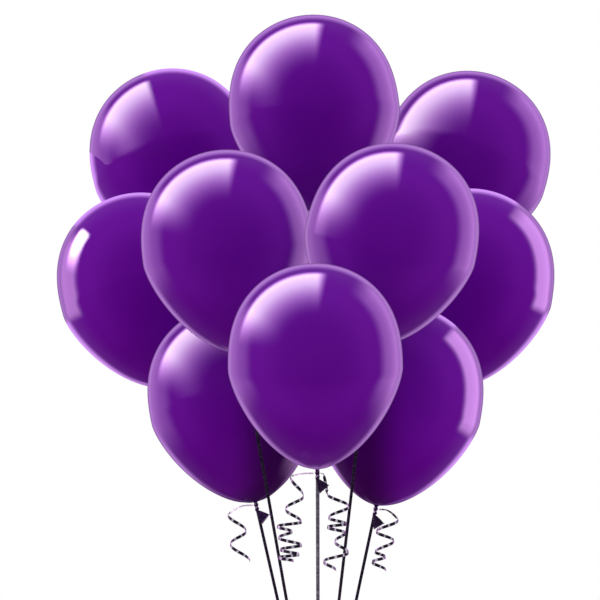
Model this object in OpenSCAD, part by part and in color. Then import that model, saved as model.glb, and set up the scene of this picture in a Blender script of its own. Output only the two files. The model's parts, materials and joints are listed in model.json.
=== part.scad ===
// A bunch of ten latex party balloons on curling ribbon.
// Millimetres, +Z up, the viewer stands at -Y.  The origin is the centre of the hand ring.

/* [Balloon] */
// Widest radius of each balloon
balloon_r = 140; // [120:1:150]
// Height of the widest ring above the tip
belly_h = 162; // [140:1:180]
// Height of the crown above the widest ring
crown_h = 169; // [140:1:190]
// Rubber wall thickness
wall = 0.8; // [0.5:0.1:2]
// How fast the lower half draws in, along the axis
taper = 1.43; // [1.2:0.01:2]
// How full the lower half stays, across the axis
fullness = 0.58; // [0.5:0.01:0.8]
// Squareness of the crown, 2 is an ellipse
crown_square = 2.5; // [2:0.1:3]
// Outside radius of the neck
neck_r = 2.6; // [2:0.1:4]
// Hole left in the neck above the knot
mouth_r = 1.2; // [0.8:0.1:2]
// Length of neck below the tip
neck_h = 9.5; // [6:0.5:15]
// Radius of the overhand knot
knot_r = 3.8; // [3:0.1:6]
// Height of the knot
knot_h = 7.7; // [5:0.1:12]
// Thickness of the flattened tail
tail_t = 1.2; // [0.6:0.1:2]
// Radius of the rolled lip along the tail's edge
lip_r = 1.1; // [0.6:0.1:2]

/* [Ribbon] */
// Width of the curling ribbon
ribbon_w = 5; // [3:0.5:10]
// Thickness of the ribbon
ribbon_t = 0.6; // [0.2:0.1:1]
// Play between the neck and the ribbon wrapped around it
tie_gap = 0.2; // [0.1:0.1:0.5]
// Outside radius of the wraps
tie_r = 4; // [3.5:0.1:6]
// Height of the wraps
tie_h = 4.4; // [3:0.1:8]
// Distance from a balloon's axis to the ribbon that leaves its tie
leave = 5; // [4.6:0.1:8]
// Step between neighbouring ribbons where they enter the gather knot
stack_step = 1.5; // [1.2:0.1:3]
// Outside radius of a short curl
curl_r = 16; // [10:1:25]

/* [Gathering] */
// Hole of the hand ring
ring_bore_r = 10; // [8:0.5:20]
// Outside radius of the hand ring
ring_r = 14; // [11:0.5:26]
// Thickness of the hand ring
ring_t = 4; // [2:0.5:8]
// Radius of the shank that the knot is tied on
shank_r = 2; // [1.5:0.1:4]
// Radius of the gather knot
gather_r = 7; // [5:0.5:12]
// Bottom of the gather knot above the ring's centre
gather_z = 16; // [14.5:0.5:24]
// Height of the gather knot
gather_h = 11; // [6:0.5:20]
// Radius of the rear hub knot
hub_r = 8; // [6:0.5:12]
// Place of the rear hub knot
hub_at = [0, 400, 560];

/* [Balloon places] */
// Each is x, y, z of the balloon's widest ring, then its lean to the right and to the back in degrees
front_center = [-5, -301, 695, -1, -8];
// Left of the second row
mid_left = [-145, -25, 880, -8, 1];
// Right of the second row
mid_right = [115, -120, 890, 12, -5];
// Topmost
top_center = [-5, 240, 1105, -6, 10];
// Rear, upper left
upper_left = [-235, 553, 1025, -16, 22];
// Rear, upper right
upper_right = [240, 481, 1020, 18, 22];
// Widest on the left
side_left = [-285, 337, 815, -16, 15];
// Widest on the right
side_right = [245, 248, 820, 10, 12];
// Lowest on the left
low_left = [-135, 141, 630, -12, 15];
// Lowest on the right
low_right = [125, 44, 630, 11, 5];

/* [Hidden] */
$fn = 72;
tie_mid = neck_h - 3.6;
latex = "#4b0a82";
ribbon_colour = "#22102e";
ring_colour = "#3a1460";

// A radius of the balloon's skin at a share of the way down, t, or up, u, from the widest ring
function down_r(r, t) = r * pow(1 - pow(t, taper), fullness);
function up_r(r, u) = r * sqrt(max(0, 1 - pow(u, crown_square)));

// The skin from the crown to just above the tip, drawn in by a depth d
function skin(d) = concat(
  [for (a = [90:-6:6]) [up_r(balloon_r - d, sin(a)), belly_h + (crown_h - d) * sin(a)]],
  [for (a = [90:-6:12]) [down_r(balloon_r - d, cos(a)), belly_h - (belly_h - d) * cos(a)]]
);
function backwards(p) = [for (i = [len(p) - 1:-1:0]) p[i]];

// Directions and neck points of a balloon at place p
function spot(p) = [p[0], p[1], p[2]];
function axis_of(p) = [sin(p[3]) * cos(p[4]), sin(p[4]), cos(p[3]) * cos(p[4])];
function neck_of(p) = spot(p) - (belly_h + tie_mid) * axis_of(p);
function unit(v) = v / norm(v);
function square_to(v, a) = unit(v - (v * a) * a);
function side_of(p, anchor) = square_to(anchor - neck_of(p), axis_of(p));
function start_of(p, anchor) = neck_of(p) + leave * side_of(p, anchor);
// A long ribbon lies flat to the viewer, so it leaves its tie at the front or at the back
function long_start(p, anchor) =
  neck_of(p) + leave * square_to([0, sign(side_of(p, anchor)[1]), 0], axis_of(p));
function gather_at(n) = [0, (n - 3.5) * stack_step, gather_z + gather_h + 1.5];
function from_hub(p) = hub_at + (hub_r + 2) * unit(start_of(p, hub_at) - hub_at);

module at_balloon(p)
  translate(spot(p))
    rotate([-p[4], p[3], 0])
      translate([0, 0, -belly_h])
        children();

module envelope() {
  outside = concat(skin(0), [[6.5, -0.6], [3.6, -1.8], [neck_r, -3], [neck_r, -neck_h]]);
  inside = concat(skin(wall), [[6.3, 0.4], [mouth_r, -1.4], [mouth_r, -neck_h]]);
  rotate_extrude()
    polygon(concat(outside, backwards(inside)));
}

module knot()
  translate([0, 0, -neck_h])
    rotate_extrude()
      polygon([
        [0, 0], [0.72 * knot_r, -0.02 * knot_h], [knot_r, -0.2 * knot_h], [knot_r, -0.38 * knot_h],
        [0.8 * knot_r, -0.5 * knot_h], [0.97 * knot_r, -0.62 * knot_h], [0.92 * knot_r, -0.84 * knot_h],
        [0.6 * knot_r, -0.98 * knot_h], [0, -knot_h]
      ]);

// The flattened tail hangs under the knot, turned about the balloon's axis
module tail(turn) {
  top = -neck_h - knot_h;
  corner = [16.5, top - 8];
  foot = [3.5, top - 20];
  reach = corner - foot;
  rotate([0, 0, turn]) {
    rotate([90, 0, 0])
      translate([0, 0, -tail_t / 2])
        linear_extrude(tail_t)
          polygon([[-1.5, top], [3, top], corner, foot, [1, top - 18]]);
    translate([foot[0], 0, foot[1]])
      rotate([0, atan2(reach[0], reach[1]), 0]) {
        cylinder(r = lip_r, h = norm(reach));
        sphere(r = lip_r);
      }
    translate([corner[0], 0, corner[1]])
      sphere(r = lip_r);
  }
}

// Three turns of ribbon around the neck
module tie() {
  third = tie_h / 3;
  translate([0, 0, -tie_mid - tie_h / 2])
    rotate_extrude()
      polygon(concat(
        [[neck_r + tie_gap, 0], [tie_r - 0.25, 0]],
        [for (i = [0:2], s = [0.2, 0.8]) [tie_r, (i + s) * third]],
        [[tie_r - 0.25, tie_h], [neck_r + tie_gap, tie_h]]
      ));
}

// A flat ribbon between two points, its flat side turned to face along side
module flat_ribbon(from, to, side) {
  d = to - from;
  back = asin(d[1] / norm(d));
  right = atan2(d[0], d[2]);
  across = [cos(right), 0, -sin(right)];
  flat = cross(unit(d), across);
  translate(from)
    rotate([-back, right, 0])
      rotate([0, 0, atan2(-(side * across), side * flat)])
        translate([-ribbon_w / 2, -ribbon_t / 2, 0])
          cube([ribbon_w, ribbon_t, norm(d)]);
}

module long_ribbon(p, n)
  flat_ribbon(gather_at(n), long_start(p, gather_at(n)), [0, 1, 0]);

module hub_branch(p)
  flat_ribbon(from_hub(p), start_of(p, hub_at), side_of(p, hub_at));

// A short curl hanging from beside a tie, kept as one upright tube of its outer size
module curl(p, right, top, low)
  translate(neck_of(p) + [right, 0, -low])
    cylinder(r = curl_r, h = low - top);

module front_center_balloon()
  color(latex) at_balloon(front_center) envelope();

module front_center_knot()
  color(latex) at_balloon(front_center) knot();

module front_center_tail()
  color(latex) at_balloon(front_center) tail(0);

module front_center_tie()
  color(ribbon_colour) at_balloon(front_center) tie();

module mid_left_balloon()
  color(latex) at_balloon(mid_left) envelope();

module mid_left_knot()
  color(latex) at_balloon(mid_left) knot();

module mid_left_tail()
  color(latex) at_balloon(mid_left) tail(0);

module mid_left_tie()
  color(ribbon_colour) at_balloon(mid_left) tie();

module mid_right_balloon()
  color(latex) at_balloon(mid_right) envelope();

module mid_right_knot()
  color(latex) at_balloon(mid_right) knot();

module mid_right_tail()
  color(latex) at_balloon(mid_right) tail(0);

module mid_right_tie()
  color(ribbon_colour) at_balloon(mid_right) tie();

module top_center_balloon()
  color(latex) at_balloon(top_center) envelope();

module top_center_knot()
  color(latex) at_balloon(top_center) knot();

module top_center_tail()
  color(latex) at_balloon(top_center) tail(0);

module top_center_tie()
  color(ribbon_colour) at_balloon(top_center) tie();

module upper_left_balloon()
  color(latex) at_balloon(upper_left) envelope();

module upper_left_knot()
  color(latex) at_balloon(upper_left) knot();

module upper_left_tail()
  color(latex) at_balloon(upper_left) tail(180);

module upper_left_tie()
  color(ribbon_colour) at_balloon(upper_left) tie();

module upper_right_balloon()
  color(latex) at_balloon(upper_right) envelope();

module upper_right_knot()
  color(latex) at_balloon(upper_right) knot();

module upper_right_tail()
  color(latex) at_balloon(upper_right) tail(0);

module upper_right_tie()
  color(ribbon_colour) at_balloon(upper_right) tie();

module side_left_balloon()
  color(latex) at_balloon(side_left) envelope();

module side_left_knot()
  color(latex) at_balloon(side_left) knot();

module side_left_tail()
  color(latex) at_balloon(side_left) tail(180);

module side_left_tie()
  color(ribbon_colour) at_balloon(side_left) tie();

module side_right_balloon()
  color(latex) at_balloon(side_right) envelope();

module side_right_knot()
  color(latex) at_balloon(side_right) knot();

module side_right_tail()
  color(latex) at_balloon(side_right) tail(0);

module side_right_tie()
  color(ribbon_colour) at_balloon(side_right) tie();

module low_left_balloon()
  color(latex) at_balloon(low_left) envelope();

module low_left_knot()
  color(latex) at_balloon(low_left) knot();

module low_left_tail()
  color(latex) at_balloon(low_left) tail(0);

module low_left_tie()
  color(ribbon_colour) at_balloon(low_left) tie();

module low_right_balloon()
  color(latex) at_balloon(low_right) envelope();

module low_right_knot()
  color(latex) at_balloon(low_right) knot();

module low_right_tail()
  color(latex) at_balloon(low_right) tail(0);

module low_right_tie()
  color(ribbon_colour) at_balloon(low_right) tie();

module front_center_ribbon()
  color(ribbon_colour) long_ribbon(front_center, 1);

module mid_left_ribbon()
  color(ribbon_colour) long_ribbon(mid_left, 3);

module mid_right_ribbon()
  color(ribbon_colour) long_ribbon(mid_right, 2);

module top_center_ribbon()
  color(ribbon_colour) hub_branch(top_center);

module upper_left_ribbon()
  color(ribbon_colour) hub_branch(upper_left);

module upper_right_ribbon()
  color(ribbon_colour) hub_branch(upper_right);

module side_left_ribbon()
  color(ribbon_colour) hub_branch(side_left);

module side_right_ribbon()
  color(ribbon_colour) hub_branch(side_right);

module low_left_ribbon()
  color(ribbon_colour) long_ribbon(low_left, 5);

module low_right_ribbon()
  color(ribbon_colour) long_ribbon(low_right, 4);

module hub_ribbon()
  color(ribbon_colour) flat_ribbon(gather_at(6), hub_at + (hub_r + 1) * unit(gather_at(6) - hub_at), [0, 1, 0]);

module front_left_curl()
  color(ribbon_colour) curl(front_center, -36, 4, 134);

module front_right_curl()
  color(ribbon_colour) curl(front_center, 34, 36, 154);

module low_left_curl()
  color(ribbon_colour) curl(low_left, -29, 8, 92);

module low_right_curl()
  color(ribbon_colour) curl(low_right, 21, 40, 104);

module rear_hub_knot()
  color(ribbon_colour) translate(hub_at) sphere(r = hub_r);

module gather_knot()
  color(ribbon_colour)
    translate([0, 0, gather_z])
      rotate_extrude()
        polygon([
          [0, 0], [0.6 * gather_r, 0], [0.93 * gather_r, 0.2 * gather_h], [gather_r, 0.45 * gather_h],
          [0.9 * gather_r, 0.75 * gather_h], [0.6 * gather_r, gather_h], [0, gather_h]
        ]);

module hand_ring()
  color(ring_colour) {
    rotate([90, 0, 0])
      translate([0, 0, -ring_t / 2])
        rotate_extrude()
          polygon([
            [ring_bore_r, 0], [ring_r - 1, 0], [ring_r, 1], [ring_r, ring_t - 1],
            [ring_r - 1, ring_t], [ring_bore_r, ring_t]
          ]);
    translate([0, 0, ring_r - 1])
      cylinder(r = shank_r, h = gather_z - ring_r + 1);
  }

front_center_balloon();
front_center_knot();
front_center_tail();
front_center_tie();
mid_left_balloon();
mid_left_knot();
mid_left_tail();
mid_left_tie();
mid_right_balloon();
mid_right_knot();
mid_right_tail();
mid_right_tie();
top_center_balloon();
top_center_knot();
top_center_tail();
top_center_tie();
upper_left_balloon();
upper_left_knot();
upper_left_tail();
upper_left_tie();
upper_right_balloon();
upper_right_knot();
upper_right_tail();
upper_right_tie();
side_left_balloon();
side_left_knot();
side_left_tail();
side_left_tie();
side_right_balloon();
side_right_knot();
side_right_tail();
side_right_tie();
low_left_balloon();
low_left_knot();
low_left_tail();
low_left_tie();
low_right_balloon();
low_right_knot();
low_right_tail();
low_right_tie();
front_center_ribbon();
mid_left_ribbon();
mid_right_ribbon();
top_center_ribbon();
upper_left_ribbon();
upper_right_ribbon();
side_left_ribbon();
side_right_ribbon();
low_left_ribbon();
low_right_ribbon();
hub_ribbon();
front_left_curl();
front_right_curl();
low_left_curl();
low_right_curl();
rear_hub_knot();
gather_knot();
hand_ring();
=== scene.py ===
import json
import math

import bmesh
import bpy
from mathutils import Matrix, Vector

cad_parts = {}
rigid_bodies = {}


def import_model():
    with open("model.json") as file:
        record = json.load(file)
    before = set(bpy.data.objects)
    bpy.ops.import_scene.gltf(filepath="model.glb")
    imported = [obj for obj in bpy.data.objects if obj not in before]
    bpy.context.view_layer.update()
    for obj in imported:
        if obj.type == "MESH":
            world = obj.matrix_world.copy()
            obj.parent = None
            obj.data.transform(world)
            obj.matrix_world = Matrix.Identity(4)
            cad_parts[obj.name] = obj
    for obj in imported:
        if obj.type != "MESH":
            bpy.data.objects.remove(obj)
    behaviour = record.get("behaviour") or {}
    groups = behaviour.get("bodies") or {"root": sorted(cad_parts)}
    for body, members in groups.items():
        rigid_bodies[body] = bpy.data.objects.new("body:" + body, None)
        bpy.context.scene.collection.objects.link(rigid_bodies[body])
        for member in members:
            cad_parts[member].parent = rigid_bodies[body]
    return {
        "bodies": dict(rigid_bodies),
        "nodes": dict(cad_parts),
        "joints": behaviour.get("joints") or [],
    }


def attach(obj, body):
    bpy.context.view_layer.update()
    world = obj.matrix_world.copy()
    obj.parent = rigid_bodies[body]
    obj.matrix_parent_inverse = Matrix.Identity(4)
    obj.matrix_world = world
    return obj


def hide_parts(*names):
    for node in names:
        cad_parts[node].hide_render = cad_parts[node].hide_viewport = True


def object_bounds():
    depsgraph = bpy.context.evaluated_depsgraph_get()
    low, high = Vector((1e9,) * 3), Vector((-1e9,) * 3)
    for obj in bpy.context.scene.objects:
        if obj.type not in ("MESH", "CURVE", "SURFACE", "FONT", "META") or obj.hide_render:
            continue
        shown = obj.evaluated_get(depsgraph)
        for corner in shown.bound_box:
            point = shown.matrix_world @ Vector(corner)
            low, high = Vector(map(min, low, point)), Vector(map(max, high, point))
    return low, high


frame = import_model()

cad_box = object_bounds()

# ---------------------------------------------------------------- sizes, metres

BELLY_R, BELLY_H, CROWN_H = 0.140, 0.162, 0.169
TAPER, FULLNESS, CROWN_SQUARE = 1.43, 0.58, 2.5
NECK_R, NECK_H = 0.0026, 0.0095
KNOT_R, KNOT_H = 0.0038, 0.0077
TAIL_T, LIP_R = 0.0012, 0.0011
# A balloon turns about the middle of its tie, which is this far under its tip
TIE_MID = 0.0059
TIE_R, TIE_H = 0.0040, 0.0044
# A ribbon leaves its tie this far from the balloon's axis
LEAVE = 0.005
RIBBON_W, RIBBON_T = 0.005, 0.0005
STACK_STEP, GATHER_TOP = 0.0015, 0.0285
GATHER_R, GATHER_LOW, GATHER_H = 0.007, 0.016, 0.011
HUB_R = 0.008
# A curl begins this far beside its tie and this far under the tie's middle
CURL_BESIDE, CURL_UNDER = 0.0018, 0.0012
CURL_T, CURL_DEPTH = 0.0004, 0.012
# Points on a straight ribbon, on a curl's lead and on one half-turn of a curl
RIBBON_POINTS, LEAD_POINTS, TURN_POINTS = 24, 14, 12
# How finely the rolls of latex and the tails are melted into one skin
KNOT_VOXEL, TAIL_VOXEL = 0.00028, 0.00030

joints = {joint["name"]: joint for joint in frame["joints"]}
bodies = set(frame["bodies"])
PLACES = [name[:-len("_swivel")] for name in joints if name.endswith("_swivel")]
# The ribbons lie one behind the other in the gather knot, in this order from the front
STACK = ["front_center", "mid_right", "mid_left", "low_right", "low_left", "hub"]
STACK_MIDDLE = 2.5
HUB = Vector(joints["top_center_sway"]["pos_m"])
# These two tails point to the left, away from the bunch
LEFT_TAILS = {"upper_left", "side_left"}


def neck(place):
    return Vector(joints[place + "_swivel"]["pos_m"])


def axis(place):
    return Vector(joints[place + "_swivel"]["axis"]).normalized()


def stand(place):
    """The balloon's own frame, with its tip at the origin and its axis up."""
    up = axis(place)
    back, right = math.asin(up.y), math.atan2(up.x, up.z)
    turn = Matrix.Rotation(right, 4, "Y") @ Matrix.Rotation(-back, 4, "X")
    return Matrix.Translation(neck(place) + TIE_MID * up) @ turn


def stem_body(place):
    return place + "_stem" if place + "_stem" in bodies else "gathering"


# ---------------------------------------------------------------- camera

camera = bpy.data.objects.new("camera", bpy.data.cameras.new("camera"))
bpy.context.collection.objects.link(camera)
bpy.context.scene.camera = camera
camera.data.sensor_width = 36
camera.data.lens = 750
camera.data.clip_end = 100
camera.location = (-0.0297, -20.275, 0.8050)
camera.rotation_euler = (math.radians(90), 0, 0)
bpy.context.scene.view_settings.view_transform = "Standard"

# ---------------------------------------------------------------- nodes written as sums


class Value:
    """A socket that can stand in a sum, such as (1 - mask) * 3."""

    def __init__(self, tree, socket):
        self.tree, self.socket = tree, socket

    def calc(self, operation, *others, clamp=False):
        values = {i: v for i, v in enumerate((self,) + others)}
        return node(self.tree, "ShaderNodeMath", {"operation": operation, "use_clamp": clamp}, values)

    def __add__(self, other):
        return self.calc("ADD", other)

    def __mul__(self, other):
        return self.calc("MULTIPLY", other)

    def __sub__(self, other):
        return self.calc("SUBTRACT", other)

    def __truediv__(self, other):
        return self.calc("DIVIDE", other)

    def __pow__(self, other):
        return self.calc("POWER", other)

    def __rsub__(self, other):
        return (self * -1) + other

    __radd__, __rmul__ = __add__, __mul__

    def clamped(self):
        return self.calc("ADD", 0.0, clamp=True)

    def between(self, low, high):
        """0 below low, 1 above high, and smooth on the way."""
        share = ((self - low) / (high - low)).clamped()
        return share * share * (3 - 2 * share)

    def over(self, limit):
        return self.calc("GREATER_THAN", limit)


def node(tree, kind, settings=None, sockets=None, out=0):
    """Adds a node. Its settings come first, then the values or links of its sockets."""
    made = tree.nodes.new(kind)
    for name, value in (settings or {}).items():
        if name == "stops":
            ramp = made.color_ramp.elements
            while len(ramp) < len(value):
                ramp.new(1)
            for stop, (place, colour) in zip(ramp, value):
                stop.position, stop.color = place, (*colour, 1)
        else:
            setattr(made, name, value)
    for name, value in (sockets or {}).items():
        if isinstance(value, Value):
            tree.links.new(value.socket, made.inputs[name])
        else:
            made.inputs[name].default_value = value
    return Value(tree, made.outputs[out])


def blend_colour(tree, share, first, second):
    """A colour from first to second. Colours are (r, g, b) or links."""
    first, second = [value if isinstance(value, Value) else (*value, 1) for value in (first, second)]
    sockets = {0: share, 6: first, 7: second}
    return node(tree, "ShaderNodeMix", {"data_type": "RGBA"}, sockets, out=2)


def axes_of(tree, vector):
    split = node(tree, "ShaderNodeSeparateXYZ", {}, {0: vector})
    outputs = split.socket.node.outputs
    return [Value(tree, outputs[i]) for i in range(3)]


def shader(name, slot_colour=(0.5, 0.5, 0.5)):
    """A new material, its tree and its Principled shader."""
    material = bpy.data.materials.new(name)
    material.use_nodes = True
    material.diffuse_color = (*slot_colour, 1)
    tree = material.node_tree
    return material, tree, tree.nodes["Principled BSDF"]


def finish(surface, **sockets):
    """Sets the shader's own sockets, whose names are written with _ for a space."""
    for name, value in sockets.items():
        socket = surface.inputs[name.replace("_", " ")]
        if isinstance(value, Value):
            value.tree.links.new(value.socket, socket)
        else:
            socket.default_value = (*value, 1) if isinstance(value, tuple) else value


def bump(tree, height, distance, strength=1.0):
    return node(tree, "ShaderNodeBump", {}, {"Height": height, "Distance": distance, "Strength": strength})


def noise(tree, vector, scale, detail=2.0, roughness=0.5):
    sockets = {"Vector": vector, "Scale": scale, "Detail": detail, "Roughness": roughness}
    return node(tree, "ShaderNodeTexNoise", {}, sockets)


# ---------------------------------------------------------------- finishes

# The colour of the painted highlight along the outline
PAINTED_OUTLINE_LAVENDER = (0.61, 0.30, 0.82)
# Painted light, set as emission colour: it stands in for light that comes through the thin wall from the
# bright room
PAINTED_LIGHT_MIDDLE, PAINTED_LIGHT_SIDE = (0.024, 0.0004, 0.070), (0.054, 0.0036, 0.126)


def latex_skin(name, gloss=None, coat_ior=1.5, shade=None):
    """Glossy purple latex, stretched thin over the belly and thicker at the crown and the neck, with painted
    light from within, a painted lavender highlight along its outline and painted shade low on the belly.

    gloss gives the share of gloss from the three parts of the surface's direction.
    shade gives the share of painted shade, from the three parts of the place.
    """
    material, tree, surface = shader(name, (0.09, 0.0, 0.2))
    direction = node(tree, "ShaderNodeNewGeometry", {}, {}, out="Normal")
    coat = gloss(*axes_of(tree, direction)) if gloss else 1.0
    place = node(tree, "ShaderNodeTexCoord", {}, {}, out="Object")
    down = axes_of(tree, node(tree, "ShaderNodeUVMap", {"uv_map": "UVMap"}))[1]
    cloud = noise(tree, place, 9.0, 3.0)
    # Darker at the crown and the neck, where the rubber is thicker, and darker on the lower belly as painted
    # shade
    body = node(tree, "ShaderNodeValToRGB", {"stops": [
        (0.00, (0.055, 0.003, 0.135)),
        (0.03, (0.078, 0.006, 0.190)),
        (0.30, (0.074, 0.003, 0.160)),
        (0.55, (0.062, 0.000, 0.118)),
        (0.74, (0.062, 0.002, 0.095)),
        (0.86, (0.036, 0.004, 0.060)),
        (0.95, (0.018, 0.003, 0.034))]}, {"Fac": down})
    body = blend_colour(tree, cloud.between(0.42, 0.62) * 0.2, body, (0.085, 0.004, 0.165))
    # The thick button of rubber at the crown
    button = 1 - down.between(0.010, 0.022)
    body = blend_colour(tree, button * 0.55, body, (0.035, 0.002, 0.085))
    edge = node(tree, "ShaderNodeLayerWeight", {}, {"Blend": 0.5}, out="Facing")
    # Painted light, brighter towards the outline and weaker on the lower part
    painted_light_side_share = edge.between(0.0, 0.24) * (1 - down.between(0.44, 0.66) * 0.85)
    painted_light_tint = blend_colour(tree, painted_light_side_share, PAINTED_LIGHT_MIDDLE, PAINTED_LIGHT_SIDE)
    if shade:
        # Painted shade: a darker colour and less painted light where the front balloon stands close
        painted_shade_share = shade(*axes_of(tree, place))
        body = blend_colour(tree, painted_shade_share * 0.5, body, (0.0, 0.0, 0.0))
        painted_light_tint = blend_colour(tree, painted_shade_share * 0.9, painted_light_tint, (0.0, 0.0, 0.0))
    # Painted highlight: a lavender line along the outline, and a faint wider painted sheen
    painted_outline_highlight = edge.between(0.62, 0.84) + edge.between(0.30, 0.85) * 0.08
    # The painted light fades out where the rubber thickens towards the neck
    thin = 1 - down.between(0.72, 0.90)
    painted_light_faded = blend_colour(tree, thin, (0.004, 0.0002, 0.012), painted_light_tint)
    # The painted outline highlight fades on the lower part, more so where painted shade is set
    painted_outline_fade = 0.85 if shade else 0.40
    painted_light_and_outline = blend_colour(tree, painted_outline_highlight * (1 - down.between(0.55, 0.78) * painted_outline_fade), painted_light_faded, PAINTED_OUTLINE_LAVENDER)
    grain = noise(tree, place, 900.0, 2.0)
    waves = noise(tree, place, 16.0, 1.0)
    relief = bump(tree, grain * 0.2 + waves * 6.0, 0.00022, 0.35)
    finish(surface, Base_Color=body, Roughness=0.34, IOR=1.45, Coat_Weight=coat, Coat_Roughness=0.05,
           Coat_IOR=coat_ior, Emission_Color=painted_light_and_outline, Emission_Strength=1.0, Normal=relief,
           Specular_IOR_Level=0.0)
    return material


def bunched_latex():
    """The same latex unstretched, so it is nearly black, with fine creases whose hollows carry painted
    shade.
    """
    material, tree, surface = shader("bunched_latex", (0.02, 0.0, 0.05))
    place = node(tree, "ShaderNodeTexCoord", {}, {}, out="Object")
    crease_relief_and_shade = noise(tree, place, 420.0, 3.0, 0.6)
    # The hollows of the creases are painted darker as painted shade
    colour = blend_colour(tree, crease_relief_and_shade.between(0.35, 0.7), (0.008, 0.001, 0.020), (0.034, 0.003, 0.070))
    finish(surface, Base_Color=colour, Roughness=0.38, Coat_Weight=0.35, Coat_Roughness=0.15,
           Normal=bump(tree, crease_relief_and_shade, 0.0004, 0.6))
    return material


def ribbon_film(name, dark, light, roughness, painted_glint_strength=0.0):
    """Polypropylene curling ribbon: fine ridges along it, painted darker in the grooves between them, with
    long streaks of painted sheen.

    The last argument sets how bright the painted highlights are where a curled ribbon's turns would flash in
    the light.
    """
    material, tree, surface = shader(name, dark)
    across = node(tree, "ShaderNodeAttribute", {"attribute_name": "across"}, {}, out="Fac")
    along = node(tree, "ShaderNodeAttribute", {"attribute_name": "along"}, {}, out="Fac")
    place = node(tree, "ShaderNodeTexCoord", {}, {}, out="Object")
    # Ridges along the ribbon; the colour follows them too, lighter on the ridges and darker in the grooves
    # as painted shade
    ribs_and_groove_shade = (across * (2 * math.pi * 14)).calc("SINE") * 0.5 + 0.5
    strokes = node(tree, "ShaderNodeCombineXYZ", {}, {0: across * 3.0, 1: along * 220.0})
    # Long lighter streaks along the film are painted sheen
    painted_sheen_bands = noise(tree, strokes, 1.0, 3.0)
    colour = blend_colour(tree, ribs_and_groove_shade * 0.35 + painted_sheen_bands.between(0.35, 0.75) * 0.65, dark, light)
    if painted_glint_strength:
        # Painted highlights: one flash for each stretch of this length, shifted a little so that they are
        # uneven
        flash_step, uneven = 0.0125, noise(tree, place, 60.0) * 5.0
        wave = (along * (2 * math.pi / flash_step) + uneven).calc("SINE")
        colour = blend_colour(tree, wave.between(0.10, 1.0) ** 2 * painted_glint_strength, colour, (0.62, 0.56, 0.68))
    scuffs = noise(tree, place, 300.0, 2.0).between(0.4, 0.7)
    finish(surface, Base_Color=colour, Roughness=scuffs * 0.18 + roughness, Coat_Weight=0.4,
           Coat_Roughness=0.12, Normal=bump(tree, ribs_and_groove_shade, 0.00012, 0.7))
    return material


def ring_plastic():
    material, tree, surface = shader("ring_plastic", (0.05, 0.01, 0.12))
    place = node(tree, "ShaderNodeTexCoord", {}, {}, out="Object")
    swirl = noise(tree, place, 160.0, 3.0)
    colour = blend_colour(tree, swirl.between(0.3, 0.7), (0.034, 0.006, 0.080), (0.060, 0.012, 0.135))
    # The moulding seam runs round the middle of the ring's thickness
    seam = 1 - axes_of(tree, place)[1].calc("ABSOLUTE").between(0.00008, 0.00022)
    wear = noise(tree, place, 700.0, 2.0)
    finish(surface, Base_Color=colour, Roughness=wear * 0.16 + 0.16, Coat_Weight=0.3, Coat_Roughness=0.08,
           Normal=bump(tree, seam * 0.8 + wear * 0.08, 0.0003, 0.7))
    return material


def floor_paint():
    material, tree, surface = shader("floor_paint", (0.9, 0.9, 0.9))
    place = node(tree, "ShaderNodeTexCoord", {}, {}, out="Object")
    tone = noise(tree, place, 3.0, 4.0)
    colour = blend_colour(tree, tone, (0.86, 0.86, 0.87), (0.90, 0.90, 0.90))
    finish(surface, Base_Color=colour, Roughness=0.75, Specular_IOR_Level=0.0)
    return material


def degrees_round(x, z):
    """The angle of a direction as seen from the front: 0 is to the right and 90 is up."""
    return z.calc("ARCTAN2", x) * (180 / math.pi)


def crescent(low, high):
    """Gloss near the outline between two angles, and a weak one at the back."""
    middle, half, soft = math.radians((low + high) / 2), math.radians((high - low) / 2), 0.05

    def gloss(x, y, z):
        across = (x * math.cos(middle) + z * math.sin(middle)) / (x * x + z * z) ** 0.5
        round_it = across.between(math.cos(half + soft), math.cos(half - soft))
        to_the_front, to_the_back = (y * -1).between(0.58, 0.68), y.between(0.0, 0.2)
        return round_it * (1 - to_the_front) * (1 - to_the_back) + to_the_back * 0.35

    return gloss


def end_at_left(x, y, z):
    """The gloss ends further to the left, because the balloon leans that way."""
    return degrees_round(x, z).between(106.0, 113.0)


def painted_shade_near_front(x, y, z):
    """Painted shade on the low balloons, where the front one stands close before them."""
    return 1 - x.calc("ABSOLUTE").between(0.078, 0.150)


SKIN = latex_skin("latex_skin")
SKINS = {
    "upper_left": latex_skin("latex_skin_upper_left", end_at_left),
    "side_left": latex_skin("latex_skin_side_left", crescent(142, 208), 3.0),
    "side_right": latex_skin("latex_skin_side_right", crescent(-24, 56), 2.6),
    "low_left": latex_skin("latex_skin_low_left", shade=painted_shade_near_front),
    "low_right": latex_skin("latex_skin_low_right", crescent(-29, 48), 2.6, painted_shade_near_front),
}
BUNCHED = bunched_latex()
BLACK_RIBBON = ribbon_film("black_ribbon", (0.006, 0.003, 0.010), (0.030, 0.014, 0.048), 0.22)
GREY_RIBBON = ribbon_film("grey_ribbon", (0.050, 0.042, 0.062), (0.210, 0.190, 0.235), 0.30)
CURL_RIBBON = ribbon_film("curl_ribbon", (0.006, 0.003, 0.010), (0.030, 0.014, 0.048), 0.22, painted_glint_strength=0.85)
RING = ring_plastic()

# ---------------------------------------------------------------- growing meshes from trees


def new_tree(name, inputs):
    """A geometry tree with these named inputs, each (name, socket type)."""
    tree = bpy.data.node_groups.new(name, "GeometryNodeTree")
    for label, kind in inputs:
        tree.interface.new_socket(name=label, in_out="INPUT", socket_type="NodeSocket" + kind)
    tree.interface.new_socket(name="Geometry", in_out="OUTPUT", socket_type="NodeSocketGeometry")
    source = tree.nodes.new("NodeGroupInput")
    return tree, {label: Value(tree, source.outputs[label]) for label, _ in inputs}


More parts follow.
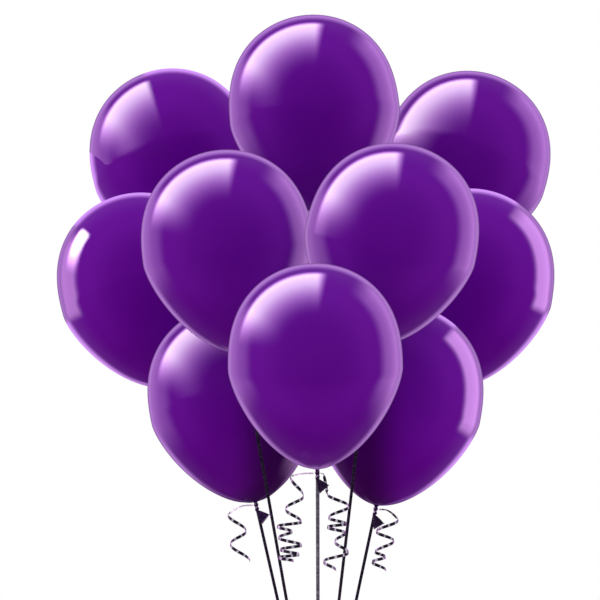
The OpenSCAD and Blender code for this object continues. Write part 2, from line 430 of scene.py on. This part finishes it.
def end_tree(tree, geometry, material):
    """Every tree ends in Realize Instances, Set Shade Smooth and Set Material."""
    real = node(tree, "GeometryNodeRealizeInstances", {}, {0: geometry})
    smooth = node(tree, "GeometryNodeSetShadeSmooth", {}, {"Geometry": real})
    painted = node(tree, "GeometryNodeSetMaterial", {}, {"Geometry": smooth, "Material": material})
    sink = tree.nodes.new("NodeGroupOutput")
    tree.links.new(painted.socket, sink.inputs[0])
    return tree


def close_up(mesh):
    """Merges doubles and turns every face outwards."""
    work = bmesh.new()
    work.from_mesh(mesh)
    bmesh.ops.remove_doubles(work, verts=work.verts, dist=1e-6)
    bmesh.ops.recalc_face_normals(work, faces=work.faces)
    work.to_mesh(mesh)
    work.free()


def grow(name, tree, values, seed=None, matrix=None):
    """A plain mesh object that the tree makes from these input values."""
    obj = bpy.data.objects.new(name, seed or bpy.data.meshes.new(name))
    bpy.context.collection.objects.link(obj)
    modifier = obj.modifiers.new("grow", "NODES")
    modifier.node_group = tree
    for item in tree.interface.items_tree:
        if item.in_out == "INPUT" and item.name in values:
            modifier[item.identifier] = values[item.name]
    seen = obj.evaluated_get(bpy.context.evaluated_depsgraph_get())
    mesh = bpy.data.meshes.new_from_object(seen)
    obj.modifiers.clear()
    obj.data = mesh
    if matrix:
        mesh.transform(matrix)
    mesh.name = name
    close_up(mesh)
    return obj


def skin_tree():
    """A balloon's skin: a grid rolled into its outline, from the crown down to the neck."""
    lengths = ["Belly Radius", "Belly Height", "Crown Height", "Taper", "Fullness", "Squareness",
               "Neck Radius", "Neck Length", "Pleat Depth", "Pleat Reach", "Pleats"]
    tree, size = new_tree("balloon_skin", [(label, "Float") for label in lengths]
                          + [("Around", "Int"), ("Along", "Int"), ("Material", "Material")])
    grid = node(tree, "GeometryNodeMeshGrid", {}, {
        "Size X": 1.0, "Size Y": 1.0, "Vertices X": size["Around"], "Vertices Y": size["Along"]})
    uv = Value(tree, grid.socket.node.outputs["UV Map"])
    named = node(tree, "GeometryNodeStoreNamedAttribute", {"data_type": "FLOAT2", "domain": "CORNER"},
                 {"Geometry": grid, "Name": "UVMap", "Value": uv})
    x, y = axes_of(tree, node(tree, "GeometryNodeInputPosition"))[:2]
    around, down = (x + 0.5) * (2 * math.pi), y + 0.5
    radius, belly = size["Belly Radius"], size["Belly Height"]
    # The shares of the grid at which the belly, the neck and the closed end begin
    upper_end, neck_start, neck_end = 0.42, 0.85, 0.985
    # Below the belly the outline runs on to this angle, short of a quarter turn
    lower_end = 1.487
    # Above the belly
    rise = ((1 - down / upper_end) * (math.pi / 2)).calc("SINE")
    upper_r = radius * (1 - rise.calc("MAXIMUM", 0.0) ** size["Squareness"]).calc("MAXIMUM", 0.0) ** 0.5
    upper_z = belly + size["Crown Height"] * rise
    # Below it
    sink = ((down - upper_end) * (lower_end / (neck_start - upper_end))).calc("SINE").calc("MAXIMUM", 0.0)
    lower_r = radius * (1 - sink ** size["Taper"]).calc("MAXIMUM", 0.0) ** size["Fullness"]
    lower_z = belly * (1 - sink)
    # The neck runs on from the narrow end
    last = math.sin(lower_end)
    last_r = radius * (1 - last ** TAPER) ** FULLNESS
    last_z = belly * (1 - last)
    run = (down - neck_start) / (neck_end - neck_start)
    neck_z = last_z - (last_z + size["Neck Length"]) * run.calc("MINIMUM", 1.0)
    narrowing = 0.0009
    flare = ((neck_z - last_z) / narrowing).calc("EXPONENT")
    neck_r = size["Neck Radius"] + (last_r - size["Neck Radius"]) * flare
    is_upper, is_neck = 1 - down.over(upper_end), down.over(neck_start)
    is_lower = 1 - is_upper - is_neck
    out = is_upper * upper_r + is_lower * lower_r + is_neck * neck_r
    height = is_upper * upper_z + is_lower * lower_z + is_neck * neck_z
    # Pleats gather the rubber into the neck
    near = (1 - height / size["Pleat Reach"]).clamped()
    out = out * (1 + size["Pleat Depth"] * near * near * (around * size["Pleats"]).calc("COSINE"))
    # The last row closes the end
    out = out * (1 - down.over(0.999))
    spot = node(tree, "ShaderNodeCombineXYZ", {}, {
        0: out * around.calc("COSINE"), 1: out * around.calc("SINE"), 2: height})
    rolled = node(tree, "GeometryNodeSetPosition", {}, {"Geometry": named, "Position": spot})
    merged = node(tree, "GeometryNodeMergeByDistance", {}, {"Geometry": rolled, "Distance": 1e-6})
    return end_tree(tree, merged, size["Material"])


def strand_tree():
    """A strand swept along a line of points. Its section is a rectangle with round corners."""
    tree, size = new_tree("strand", [("Line", "Geometry"), ("Width", "Float"), ("Thickness", "Float"),
                                     ("Corners", "Int"), ("Material", "Material")])
    line = node(tree, "GeometryNodeMeshToCurve", {}, {0: size["Line"]})
    facing = node(tree, "GeometryNodeInputNamedAttribute", {"data_type": "FLOAT_VECTOR"}, {"Name": "facing"})
    turned = node(tree, "GeometryNodeSetCurveNormal", {"mode": "FREE"}, {"Curve": line, "Normal": facing})
    far = node(tree, "GeometryNodeSplineParameter", {}, {}, out="Length")
    kept = node(tree, "GeometryNodeStoreNamedAttribute", {"data_type": "FLOAT", "domain": "POINT"},
                {"Geometry": turned, "Name": "along", "Value": far})
    ring = node(tree, "GeometryNodeCurvePrimitiveCircle", {}, {"Resolution": size["Corners"], "Radius": 1.0})
    x, y = axes_of(tree, node(tree, "GeometryNodeInputPosition"))[:2]

    def squared(value):
        """Pulls a round section out towards a rectangle."""
        return value.calc("SIGN") * value.calc("ABSOLUTE") ** 0.45

    section = node(tree, "ShaderNodeCombineXYZ", {}, {
        0: squared(x) * size["Thickness"] * 0.5, 1: squared(y) * size["Width"] * 0.5, 2: 0.0})
    shaped = node(tree, "GeometryNodeSetPosition", {}, {"Geometry": ring, "Position": section})
    side = node(tree, "GeometryNodeStoreNamedAttribute", {"data_type": "FLOAT", "domain": "POINT"},
                {"Geometry": shaped, "Name": "across", "Value": squared(y) * 0.5 + 0.5})
    swept = node(tree, "GeometryNodeCurveToMesh", {}, {
        "Curve": kept, "Profile Curve": side, "Fill Caps": True})
    return end_tree(tree, swept, size["Material"])


SKIN_TREE = skin_tree()
STRAND_TREE = strand_tree()


def strand(name, points, facings, width, thickness, material, corners=20):
    """A ribbon or roll along these points, its flat side turned to face along facings."""
    line = bpy.data.meshes.new(name + "_line")
    line.from_pydata(points, [(i, i + 1) for i in range(len(points) - 1)], [])
    line.attributes.new("facing", "FLOAT_VECTOR", "POINT")
    line.attributes["facing"].data.foreach_set("vector", [value for facing in facings for value in facing])
    return grow(name, STRAND_TREE, {"Width": width, "Thickness": thickness, "Corners": corners,
                                    "Material": material}, seed=line)


# ---------------------------------------------------------------- ribbons and curls


def gather_point(place):
    """Where a ribbon enters the gather knot."""
    return Vector((0, (STACK.index(place) - STACK_MIDDLE) * STACK_STEP, GATHER_TOP))


def square_to(vector, direction):
    return (vector - vector.dot(direction) * direction).normalized()


def along_line(start, end):
    return [start.lerp(end, i / (RIBBON_POINTS - 1)) for i in range(RIBBON_POINTS)]


def length_of(points):
    return sum((b - a).length for a, b in zip(points, points[1:]))


def ribbon_film_piece(place, path, facing, film):
    return strand(place + "_ribbon_film", path, [facing] * RIBBON_POINTS, RIBBON_W, RIBBON_T, film)


BACKWARD = Vector((0, 1, 0))
ribbons = {}
for place in PLACES:
    up, root = axis(place), neck(place)
    if place in STACK:
        start, facing = gather_point(place), BACKWARD
        toward = math.copysign(1, square_to(start - root, up).y)
        side = square_to(Vector((0, toward, 0)), up)
    else:
        side = facing = square_to(HUB - root, up)
        start = HUB + (HUB_R + 0.002) * ((root + LEAVE * side) - HUB).normalized()
    path = along_line(start, root + LEAVE * side)
    film = GREY_RIBBON if place == "front_center" else BLACK_RIBBON
    ribbons[place] = (ribbon_film_piece(place, path, facing, film), path)

hub_start = gather_point("hub")
hub_path = along_line(hub_start, HUB + (HUB_R + 0.001) * (hub_start - HUB).normalized())
ribbons["hub"] = (ribbon_film_piece("hub", hub_path, BACKWARD, BLACK_RIBBON), hub_path)

for place, (piece, path) in ribbons.items():
    body = "gathering" if place == "hub" else stem_body(place)
    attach(piece, body)
    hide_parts(place + "_ribbon")
    length_of(path)


def curl_line(place, bends, behind=0.004):
    """A curl from its tie. It swings from bend to bend, now in front and now behind.

    Each bend is its distance to the right of the neck and its drop below it, in millimetres.
    behind is how far back the lead to the first bend bows.
    """
    root = neck(place)
    spots = [Vector((right, 0, -drop)) / 1000 for right, drop in bends]
    side = math.copysign(1, spots[0].x)
    begin = Vector((side * (TIE_R + CURL_BESIDE), 0, -CURL_UNDER))
    points, facings = [], []
    # The lead runs from the tie to the first bend, bowed back and a little up
    for i in range(LEAD_POINTS):
        t = i / LEAD_POINTS
        bow = math.sin(math.pi * t)
        lift = 0.35 * bow * (begin.z - spots[0].z)
        points.append(begin.lerp(spots[0], t) + Vector((0, behind * bow ** 1.8, lift)))
        facings.append(Vector((0, -0.5, 1)).normalized())
    for turn, (here, there) in enumerate(zip(spots, spots[1:])):
        back = 1 if turn % 2 else -1
        for i in range(TURN_POINTS):
            t = i / TURN_POINTS
            swing = (1 - math.cos(math.pi * t)) / 2
            x, z = here.x + (there.x - here.x) * swing, here.z + (there.z - here.z) * t
            deep = back * CURL_DEPTH * math.sin(math.pi * t)
            points.append(Vector((x, deep, z)))
            middle = (here.x + there.x) / 2
            facings.append(Vector((x - middle, deep, 0.002)).normalized())
    points.append(spots[-1])
    facings.append(facings[-1])
    return [root + point for point in points], facings


CURLS = {
    "front_left_curl": curl_line("front_center", [
        (-43, 6), (-22, 38), (-51, 58), (-25, 79), (-64, 86), (-40, 94), (-62, 104), (-25, 116),
        (-59, 123), (-29, 131), (-62, 136), (-38, 141)]),
    "front_right_curl": curl_line("front_center", [
        (16, 34), (51, 54), (18, 72), (47, 82), (16, 87), (45, 96), (28, 110), (50, 128),
        (10, 142), (30, 156)], behind=0.009),
    "low_left_curl": curl_line("low_left", [
        (-46, 16), (-16, 43), (-42, 64), (-10, 92)]),
    "low_right_curl": curl_line("low_right", [
        (37, 18), (1, 37), (30, 52), (-1, 70), (16, 78), (-6, 86), (17, 100)]),
}
for name, (points, facings) in CURLS.items():
    piece = strand(name + "_film", points, facings, RIBBON_W, CURL_T, CURL_RIBBON, corners=12)
    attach(piece, name)
    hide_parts(name)
    length_of(points)

# ---------------------------------------------------------------- balloons

SIZES = {
    "Belly Radius": BELLY_R, "Belly Height": BELLY_H, "Crown Height": CROWN_H, "Taper": TAPER,
    "Fullness": FULLNESS, "Squareness": CROWN_SQUARE, "Neck Radius": NECK_R, "Neck Length": NECK_H,
    "Pleat Depth": 0.05, "Pleat Reach": 0.030, "Pleats": 9.0, "Around": 109, "Along": 121,
}


def smooth_remesh(obj, voxel, passes):
    """Melts crossing rolls into one closed skin."""
    melt = obj.modifiers.new("melt", "REMESH")
    melt.mode = "VOXEL"
    melt.voxel_size = voxel
    ease = obj.modifiers.new("ease", "SMOOTH")
    ease.iterations = passes
    ease.factor = 0.5
    material = obj.data.materials[0]
    mesh = bpy.data.meshes.new_from_object(obj.evaluated_get(bpy.context.evaluated_depsgraph_get()))
    obj.modifiers.clear()
    obj.data = mesh
    mesh.materials.clear()
    mesh.materials.append(material)
    for face in mesh.polygons:
        face.use_smooth = True
        face.material_index = 0
    close_up(mesh)


def tangent_frame(points):
    """A facing for each point of a round roll, carried along without twisting."""
    facings, last = [], None
    for i, point in enumerate(points):
        ahead = (points[min(i + 1, len(points) - 1)] - points[max(i - 1, 0)]).normalized()
        last = square_to(last or ahead.orthogonal(), ahead)
        facings.append(last)
    return facings


def overhand_knot(place):
    """The neck tied in an overhand knot: one roll of latex passed through its own loop."""
    roll, steps = 0.00275, 120
    spread, rise = (KNOT_R - roll / 2) / 3, (KNOT_H - roll) / 2
    middle = Vector((0, 0, -NECK_H - KNOT_H / 2))
    turns = [2 * math.pi * i / steps for i in range(steps + 1)]
    points = [middle + Vector((
        spread * (2 + math.cos(3 * t)) * math.cos(2 * t),
        spread * (2 + math.cos(3 * t)) * math.sin(2 * t),
        rise * math.sin(3 * t) * 0.72 + rise * 0.28 * math.cos(2 * t))) for t in turns]
    knot = strand(place + "_overhand_knot", points, tangent_frame(points), roll, roll, BUNCHED, corners=12)
    core = bmesh.new()
    core.from_mesh(knot.data)
    bmesh.ops.create_cone(core, cap_ends=True, segments=16, radius1=KNOT_R * 0.55, radius2=KNOT_R * 0.55,
                          depth=KNOT_H * 0.96, matrix=Matrix.Translation(middle))
    core.to_mesh(knot.data)
    core.free()
    smooth_remesh(knot, KNOT_VOXEL, 4)
    knot.data.transform(stand(place))
    return knot


def loft(name, rings, material):
    """A closed skin through rings of points, with both ends filled."""
    work = bmesh.new()
    rows = [[work.verts.new(point) for point in ring] for ring in rings]
    for low, high in zip(rows, rows[1:]):
        for i in range(len(low)):
            j = (i + 1) % len(low)
            work.faces.new((low[i], low[j], high[j], high[i]))
    work.faces.new(rows[0])
    work.faces.new(list(reversed(rows[-1])))
    bmesh.ops.recalc_face_normals(work, faces=work.faces)
    mesh = bpy.data.meshes.new(name)
    work.to_mesh(mesh)
    work.free()
    mesh.materials.append(material)
    obj = bpy.data.objects.new(name, mesh)
    bpy.context.collection.objects.link(obj)
    return obj


def flared_tail(place):
    """The flattened mouth of the balloon: pleated rubber that flares to its rolled lip."""
    top = -NECK_H - KNOT_H
    # Each edge bends from the knot to a corner of the mouth: three points, sideways and up from the knot
    left, right = [[Vector((side, 0, top + up)) for side, up in edge] for edge in (
        ((-0.0016, 0.0012), (0.0002, -0.0190), (0.0035, -0.0218)),
        ((0.0026, 0.0012), (0.0105, -0.0030), (0.0182, -0.0088)))]

    def bend(corners, t):
        a, b, c = corners
        return (1 - t) ** 2 * a + 2 * t * (1 - t) * b + t * t * c

    rings, steps, half = [], 20, 26
    for s in range(steps + 1):
        t = s / steps
        a, b = bend(left, t), bend(right, t)
        ring = []
        for i in range(2 * half):
            q = 1 - 2 * i / half if i < half else -1 + 2 * (i - half) / half
            front = -1 if i < half else 1
            thick = (0.0016 * (1 - t) + TAIL_T * 0.42 * t) * math.sqrt(max(0.0, 1 - q * q) + 0.02)
            fold = 0.00055 * t * math.sin(4.5 * math.pi * q) * (1 - 0.5 * t)
            ring.append(a.lerp(b, (q + 1) / 2) + Vector((0, front * thick + fold, 0)))
        rings.append(ring)
    tail = loft(place + "_flared_tail", rings, BUNCHED)
    # The rolled lip runs round the flattened mouth
    foot, corner = left[2], right[2]
    reach, out = corner - foot, Vector((0, 0.0005, 0))
    lip_path, lip_steps, lip_roll = [], 48, LIP_R * 1.15
    for i in range(lip_steps + 1):
        angle = 2 * math.pi * i / lip_steps
        lip_path.append(foot + reach * (0.5 - 0.5 * math.cos(angle)) + out * math.sin(angle))
    lip = strand(place + "_lip", lip_path, tangent_frame(lip_path), lip_roll, lip_roll, BUNCHED, corners=10)
    work = bmesh.new()
    work.from_mesh(tail.data)
    work.from_mesh(lip.data)
    work.to_mesh(tail.data)
    work.free()
    bpy.data.objects.remove(lip)
    smooth_remesh(tail, TAIL_VOXEL, 3)
    turn = Matrix.Rotation(math.pi if place in LEFT_TAILS else 0, 4, "Z")
    tail.data.transform(stand(place) @ turn)
    return tail


def wrapped_tie(place):
    """Three turns of folded ribbon round the neck."""
    turns, points, facings = 3, [], []
    radius, steps = TIE_R - 0.0006, turns * 32
    for i in range(steps + 1):
        share = i / steps
        angle = share * turns * 2 * math.pi
        out = Vector((math.cos(angle), math.sin(angle), 0))
        height = -TIE_MID + (0.5 - share) * (TIE_H - 0.0016)
        points.append(out * radius + Vector((0, 0, height)))
        facings.append(out)
    tie = strand(place + "_wrapped_tie", points, facings, 0.0015, 0.0009, BLACK_RIBBON, corners=10)
    tie.data.transform(stand(place))
    return tie


def place_piece(piece, body, node_name):
    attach(piece, body)
    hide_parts(node_name)


for place in PLACES:
    sizes = {**SIZES, "Material": SKINS.get(place, SKIN)}
    skin = grow(place + "_skin", SKIN_TREE, sizes, matrix=stand(place))
    skin.visible_glossy = False
    place_piece(skin, place, place + "_balloon")
    place_piece(overhand_knot(place), place, place + "_knot")
    place_piece(flared_tail(place), place, place + "_tail")
    place_piece(wrapped_tie(place), stem_body(place), place + "_tie")

# ---------------------------------------------------------------- knots of ribbon and the ring


def ball_of_turns(name, middle, radius, turns, width):
    """A knot of ribbon: turns that cross over each other all round a small core."""
    points, facings = [], []
    turn_steps = 36
    steps = turns * turn_steps
    for i in range(steps + 1):
        angle = 2 * math.pi * i / turn_steps
        swing = math.pi * i / steps
        flat = Vector((math.cos(angle), math.sin(angle), 0))
        out = Matrix.Rotation(swing, 3, "Z") @ (Matrix.Rotation(math.radians(68), 3, "X") @ flat)
        points.append(middle + out * (radius - 0.0006 + 0.0004 * math.sin(angle * 0.5)))
        facings.append(out)
    ball = strand(name, points, facings, width, 0.0006, BLACK_RIBBON, corners=12)
    core = bmesh.new()
    core.from_mesh(ball.data)
    bmesh.ops.create_uvsphere(core, u_segments=32, v_segments=20, radius=radius - 0.0014,
                              matrix=Matrix.Translation(middle))
    core.to_mesh(ball.data)
    core.free()
    return ball


hub_wraps = ball_of_turns("rear_hub_wraps", HUB, HUB_R + 0.0022, turns=6, width=0.0046)
place_piece(hub_wraps, "gathering", "rear_hub_knot")


def gather_wraps():
    """Three turns of ribbon round all the ribbons, over a solid core."""
    points, facings = [], []
    turns = 3
    steps = turns * 36
    for i in range(steps + 1):
        share = i / steps
        angle = share * turns * 2 * math.pi
        out = Vector((math.cos(angle), math.sin(angle), 0))
        bulge = GATHER_R - 0.0008 - 0.0014 * (2 * share - 1) ** 2
        points.append(out * bulge + Vector((0, 0, GATHER_LOW + 0.0026 + share * (GATHER_H - 0.0056))))
        facings.append(out)
    wraps = strand("gather_wraps", points, facings, 0.0046, 0.0008, BLACK_RIBBON, corners=12)
    core = bmesh.new()
    core.from_mesh(wraps.data)
    bmesh.ops.create_uvsphere(
        core, u_segments=36, v_segments=24, radius=1,
        matrix=Matrix.Translation((0, 0, GATHER_LOW + GATHER_H / 2))
        @ Matrix.Diagonal((GATHER_R - 0.0012, GATHER_R - 0.0012, GATHER_H / 2, 1)))
    # Above, the wraps close in on the ribbons; below, a loop holds the ring's bail
    for height, half in ((0.0276, (0.0036, 0.0050, 0.0034)), (0.0158, (0.0036, 0.0032, 0.0020))):
        bmesh.ops.create_uvsphere(core, u_segments=32, v_segments=16, radius=1,
                                  matrix=Matrix.Translation((0, 0, height)) @ Matrix.Diagonal((*half, 1)))
    core.to_mesh(wraps.data)
    core.free()
    return wraps


place_piece(gather_wraps(), "gathering", "gather_knot")

ring = frame["nodes"]["hand_ring"]
for material_slot in ring.material_slots:
    material_slot.material = RING

# ---------------------------------------------------------------- floor and light

FLOOR_Z, FLOOR_R, FLOOR_CORNERS = cad_box[0][2] - 0.004, 7.0, 64
floor_mesh = bpy.data.meshes.new("floor")
angles = [2 * math.pi * i / FLOOR_CORNERS for i in range(FLOOR_CORNERS)]
outline = [(FLOOR_R * math.cos(angle), FLOOR_R * math.sin(angle), FLOOR_Z) for angle in angles]
floor_mesh.from_pydata(outline, [], [list(range(FLOOR_CORNERS))])
floor_mesh.materials.append(floor_paint())
floor = bpy.data.objects.new("floor", floor_mesh)
bpy.context.collection.objects.link(floor)
floor.visible_glossy = False


def studio():
    """A white room: soft light from all round, and softboxes that show only as reflections."""
    world = bpy.data.worlds.new("studio")
    bpy.context.scene.world = world
    world.use_nodes = True
    tree = world.node_tree
    tree.nodes.clear()
    look = node(tree, "ShaderNodeTexCoord", {}, {}, out="Generated")
    x, y, z = axes_of(tree, look)
    angle = degrees_round(x, z)
    # The key softbox hangs to the upper left; its far edge is crisp and its near side fades
    key = (1 - y.between(0.48, 0.66)) * y.between(-0.72, 0.26)
    key = key * angle.between(80.0, 89.0) * (1 - angle.between(150.0, 176.0))
    # A strip stands on the right, a weak one low on the left
    strip = y.between(0.02, 0.36) * (1 - y.between(0.70, 0.88))
    right = strip * angle.between(-44.0, -18.0) * (1 - angle.between(40.0, 62.0))
    left = strip * angle.calc("ABSOLUTE").between(140.0, 160.0)
    rays = node(tree, "ShaderNodeLightPath", {}, {}).socket.node.outputs
    first = 1 - Value(tree, rays["Glossy Depth"]).over(1.5) * 0.93
    shine = (key * 11.5 + right * 2.5 + left * 1.5 + 0.012) * first
    shine_colour = blend_colour(tree, key * key, (0.86, 0.42, 1.0), (1.0, 0.78, 1.0))
    glossy = node(tree, "ShaderNodeBackground", {}, {"Color": shine_colour, "Strength": shine})
    fill = 0.86 + (z * 0.30 - x * 0.20 - y * 0.12)
    soft = node(tree, "ShaderNodeBackground", {}, {"Color": (1, 1, 1, 1), "Strength": fill})
    white = node(tree, "ShaderNodeBackground", {}, {"Color": (1, 1, 1, 1), "Strength": 1.0})
    lit = node(tree, "ShaderNodeMixShader", {}, {0: Value(tree, rays["Is Glossy Ray"]), 1: soft, 2: glossy})
    seen = node(tree, "ShaderNodeMixShader", {}, {0: Value(tree, rays["Is Camera Ray"]), 1: lit, 2: white})
    sink = tree.nodes.new("ShaderNodeOutputWorld")
    tree.links.new(seen.socket, sink.inputs[0])
    world.cycles.sampling_method = "NONE"


studio()
